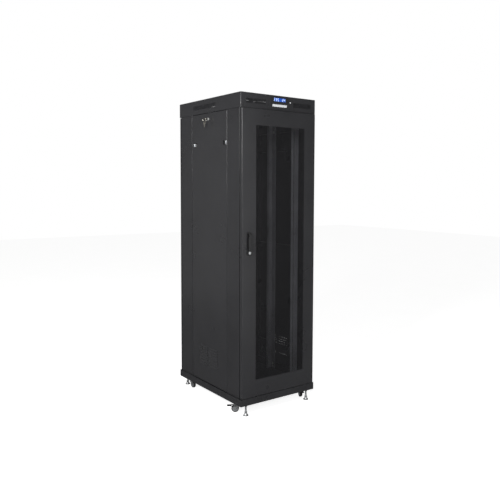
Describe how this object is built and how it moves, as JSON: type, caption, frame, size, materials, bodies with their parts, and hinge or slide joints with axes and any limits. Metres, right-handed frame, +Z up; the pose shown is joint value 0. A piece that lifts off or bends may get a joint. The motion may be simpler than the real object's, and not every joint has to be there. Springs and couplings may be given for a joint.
{
  "type": "network server rack cabinet",
  "caption": "Tall free-standing 19-inch rack cabinet with a perforated front door, swing handle, lift-off side panels, roof fans, castors and levelling feet.",
  "frame": {"origin": "on the floor, in the middle of the cabinet's 600 by 800 mm footprint, level with the underside of the levelling feet", "axes": "+X to the right seen from the front, +Y from the front door to the rear door, +Z up"},
  "size_m": [0.6414, 0.8346, 2.057],
  "materials": {
    "frame_paint": "black powder coat on folded steel sheet",
    "panel_paint": "black powder coat, fine texture",
    "rail_paint": "dark grey powder coat",
    "mesh_paint": "black powder coat on perforated sheet",
    "zinc": "bright zinc plate",
    "chrome": "polished chrome plate",
    "black_plastic": "moulded black nylon",
    "fan_plastic": "moulded black PBT",
    "lcd_glass": "lit blue display window",
    "badge_white": "blank satin white strip",
    "tyre_rubber": "dark rubber tread",
    "dark_nut": "black oxide"
  },
  "bodies": {
    "cabinet": {"base_frame": "frame_paint", "blank_badge": "badge_white", "castor_plates": "zinc", "controller_housing": "black_plastic", "cross_members": "frame_paint", "fan_frames": "fan_plastic", "fan_guards": "zinc", "floor_panel": "frame_paint", "foot_nuts": "dark_nut", "frame_bolts": "zinc", "hinge_brackets": "frame_paint", "hinge_pins": "zinc", "lcd_window": "lcd_glass", "post_front_left": "frame_paint", "post_front_right": "frame_paint", "post_rear_left": "frame_paint", "post_rear_right": "frame_paint", "rack_rail_front_left": "rail_paint", "rack_rail_front_right": "rail_paint", "rack_rail_rear_left": "rail_paint", "rack_rail_rear_right": "rail_paint", "roof_cover": "panel_paint", "side_braces": "frame_paint"},
    "front_door": {"front_door_frame": "panel_paint", "front_door_mesh": "mesh_paint", "front_door_channels": "panel_paint", "handle_dish": "black_plastic"},
    "door_handle": {"handle_spindle": "black_plastic"},
    "handle_grip": {"handle_lever": "black_plastic"},
    "handle_key_lock": {"handle_lock": "chrome"},
    "rear_door": {"rear_door_panel": "panel_paint"},
    "rear_door_lock": {"rear_lock": "chrome"},
    "left_panel": {"side_panel_left": "panel_paint", "latch_cups_left": "black_plastic"},
    "right_panel": {"side_panel_right": "panel_paint", "latch_cups_right": "black_plastic"},
    "left_panel_lock": {"panel_lock_left": "chrome", "panel_keys": "chrome"},
    "right_panel_lock": {"panel_lock_right": "chrome"},
    "fan_rotor_left": {"fan_rotor_left": "fan_plastic"},
    "fan_rotor_right": {"fan_rotor_right": "fan_plastic"},
    "controller_button": {"controller_button": "black_plastic"},
    "latch_left_front": {"slide_latch_left_front": "chrome"},
    "latch_left_rear": {"slide_latch_left_rear": "chrome"},
    "latch_right_front": {"slide_latch_right_front": "chrome"},
    "latch_right_rear": {"slide_latch_right_rear": "chrome"},
    "castor_front_left": {"castor_fork_front_left": "zinc"},
    "wheel_front_left": {"castor_wheel_front_left": "tyre_rubber"},
    "brake_front_left": {"castor_brake_front_left": "black_plastic"},
    "foot_front_left": {"foot_front_left": "zinc"},
    "castor_front_right": {"castor_fork_front_right": "zinc"},
    "wheel_front_right": {"castor_wheel_front_right": "tyre_rubber"},
    "brake_front_right": {"castor_brake_front_right": "black_plastic"},
    "foot_front_right": {"foot_front_right": "zinc"},
    "castor_rear_left": {"castor_fork_rear_left": "zinc"},
    "wheel_rear_left": {"castor_wheel_rear_left": "tyre_rubber"},
    "foot_rear_left": {"foot_rear_left": "zinc"},
    "castor_rear_right": {"castor_fork_rear_right": "zinc"},
    "wheel_rear_right": {"castor_wheel_rear_right": "tyre_rubber"},
    "foot_rear_right": {"foot_rear_right": "zinc"}
  },
  "joints": [
    {"name": "front_door_swing", "type": "hinge", "parent": "cabinet", "child": "front_door", "pos_m": [0.289, -0.392, 1.039], "axis": [0, 0, 1], "range_deg": [0, 115]},
    {"name": "handle_turn", "type": "hinge", "parent": "front_door", "child": "door_handle", "pos_m": [-0.241, -0.408, 1.17], "axis": [0, -1, 0], "range_deg": [0, 90]},
    {"name": "handle_pop_out", "type": "hinge", "parent": "door_handle", "child": "handle_grip", "pos_m": [-0.241, -0.4218, 1.17], "axis": [-1, 0, 0], "range_deg": [0, 35]},
    {"name": "handle_lock_turn", "type": "hinge", "parent": "front_door", "child": "handle_key_lock", "pos_m": [-0.241, -0.417, 1.053], "axis": [0, -1, 0], "range_deg": [0, 90]},
    {"name": "rear_door_swing", "type": "hinge", "parent": "cabinet", "child": "rear_door", "pos_m": [0.289, 0.389, 1.039], "axis": [0, 0, -1], "range_deg": [0, 100]},
    {"name": "rear_lock_turn", "type": "hinge", "parent": "rear_door", "child": "rear_door_lock", "pos_m": [-0.241, 0.404, 1.039], "axis": [0, 1, 0], "range_deg": [0, 90]},
    {"name": "left_panel_off", "type": "slide", "parent": "cabinet", "child": "left_panel", "axis": [-1, 0, 0], "range_m": [0, 0.25]},
    {"name": "right_panel_off", "type": "slide", "parent": "cabinet", "child": "right_panel", "axis": [1, 0, 0], "range_m": [0, 0.25]},
    {"name": "left_lock_turn", "type": "hinge", "parent": "left_panel", "child": "left_panel_lock", "pos_m": [-0.296, 0, 1.921], "axis": [-1, 0, 0], "range_deg": [0, 90]},
    {"name": "right_lock_turn", "type": "hinge", "parent": "right_panel", "child": "right_panel_lock", "pos_m": [0.296, 0, 1.921], "axis": [1, 0, 0], "range_deg": [0, 90]},
    {"name": "fan_spin_left", "type": "hinge", "parent": "cabinet", "child": "fan_rotor_left", "pos_m": [-0.075, -0.06, 2.0405], "axis": [0, 0, 1], "continuous": true},
    {"name": "fan_spin_right", "type": "hinge", "parent": "cabinet", "child": "fan_rotor_right", "pos_m": [0.075, -0.06, 2.0405], "axis": [0, 0, 1], "continuous": true},
    {"name": "button_press", "type": "slide", "parent": "cabinet", "child": "controller_button", "axis": [0, 1, 0], "range_m": [0, 0.0015], "stiffness_N_per_m": 300},
    {"name": "latch_slide_left_front", "type": "slide", "parent": "left_panel", "child": "latch_left_front", "axis": [0, 1, 0], "range_m": [0, 0.012], "stiffness_N_per_m": 150},
    {"name": "latch_slide_left_rear", "type": "slide", "parent": "left_panel", "child": "latch_left_rear", "axis": [0, -1, 0], "range_m": [0, 0.012], "stiffness_N_per_m": 150},
    {"name": "latch_slide_right_front", "type": "slide", "parent": "right_panel", "child": "latch_right_front", "axis": [0, 1, 0], "range_m": [0, 0.012], "stiffness_N_per_m": 150},
    {"name": "latch_slide_right_rear", "type": "slide", "parent": "right_panel", "child": "latch_right_rear", "axis": [0, -1, 0], "range_m": [0, 0.012], "stiffness_N_per_m": 150},
    {"name": "castor_swivel_front_left", "type": "hinge", "parent": "cabinet", "child": "castor_front_left", "pos_m": [-0.258, -0.308, 0.06], "axis": [0, 0, 1], "continuous": true},
    {"name": "wheel_roll_front_left", "type": "hinge", "parent": "castor_front_left", "child": "wheel_front_left", "pos_m": [-0.27218, -0.29692, 0.027], "axis": [-0.6157, -0.788, 0], "continuous": true},
    {"name": "brake_press_front_left", "type": "hinge", "parent": "castor_front_left", "child": "brake_front_left", "pos_m": [-0.26903, -0.29938, 0.0453], "axis": [-0.6157, -0.788, 0], "range_deg": [0, 10]},
    {"name": "foot_screw_front_left", "type": "slide", "parent": "cabinet", "child": "foot_front_left", "axis": [0, 0, -1], "range_m": [0, 0.015]},
    {"name": "castor_swivel_front_right", "type": "hinge", "parent": "cabinet", "child": "castor_front_right", "pos_m": [0.258, -0.308, 0.06], "axis": [0, 0, 1], "continuous": true},
    {"name": "wheel_roll_front_right", "type": "hinge", "parent": "castor_front_right", "child": "wheel_front_right", "pos_m": [0.25184, -0.32491, 0.027], "axis": [0.9397, -0.342, 0], "continuous": true},
    {"name": "brake_press_front_right", "type": "hinge", "parent": "castor_front_right", "child": "brake_front_right", "pos_m": [0.25321, -0.32116, 0.0453], "axis": [0.9397, -0.342, 0], "range_deg": [0, 10]},
    {"name": "foot_screw_front_right", "type": "slide", "parent": "cabinet", "child": "foot_front_right", "axis": [0, 0, -1], "range_m": [0, 0.015]},
    {"name": "castor_swivel_rear_left", "type": "hinge", "parent": "cabinet", "child": "castor_rear_left", "pos_m": [-0.258, 0.308, 0.06], "axis": [0, 0, 1], "continuous": true},
    {"name": "wheel_roll_rear_left", "type": "hinge", "parent": "castor_rear_left", "child": "wheel_rear_left", "pos_m": [-0.258, 0.29, 0.027], "axis": [1, 0, 0], "continuous": true},
    {"name": "foot_screw_rear_left", "type": "slide", "parent": "cabinet", "child": "foot_rear_left", "axis": [0, 0, -1], "range_m": [0, 0.015]},
    {"name": "castor_swivel_rear_right", "type": "hinge", "parent": "cabinet", "child": "castor_rear_right", "pos_m": [0.258, 0.308, 0.06], "axis": [0, 0, 1], "continuous": true},
    {"name": "wheel_roll_rear_right", "type": "hinge", "parent": "castor_rear_right", "child": "wheel_rear_right", "pos_m": [0.267, 0.29241, 0.027], "axis": [0.866, 0.5, 0], "continuous": true},
    {"name": "foot_screw_rear_right", "type": "slide", "parent": "cabinet", "child": "foot_rear_right", "axis": [0, 0, -1], "range_m": [0, 0.015]}
  ]
}
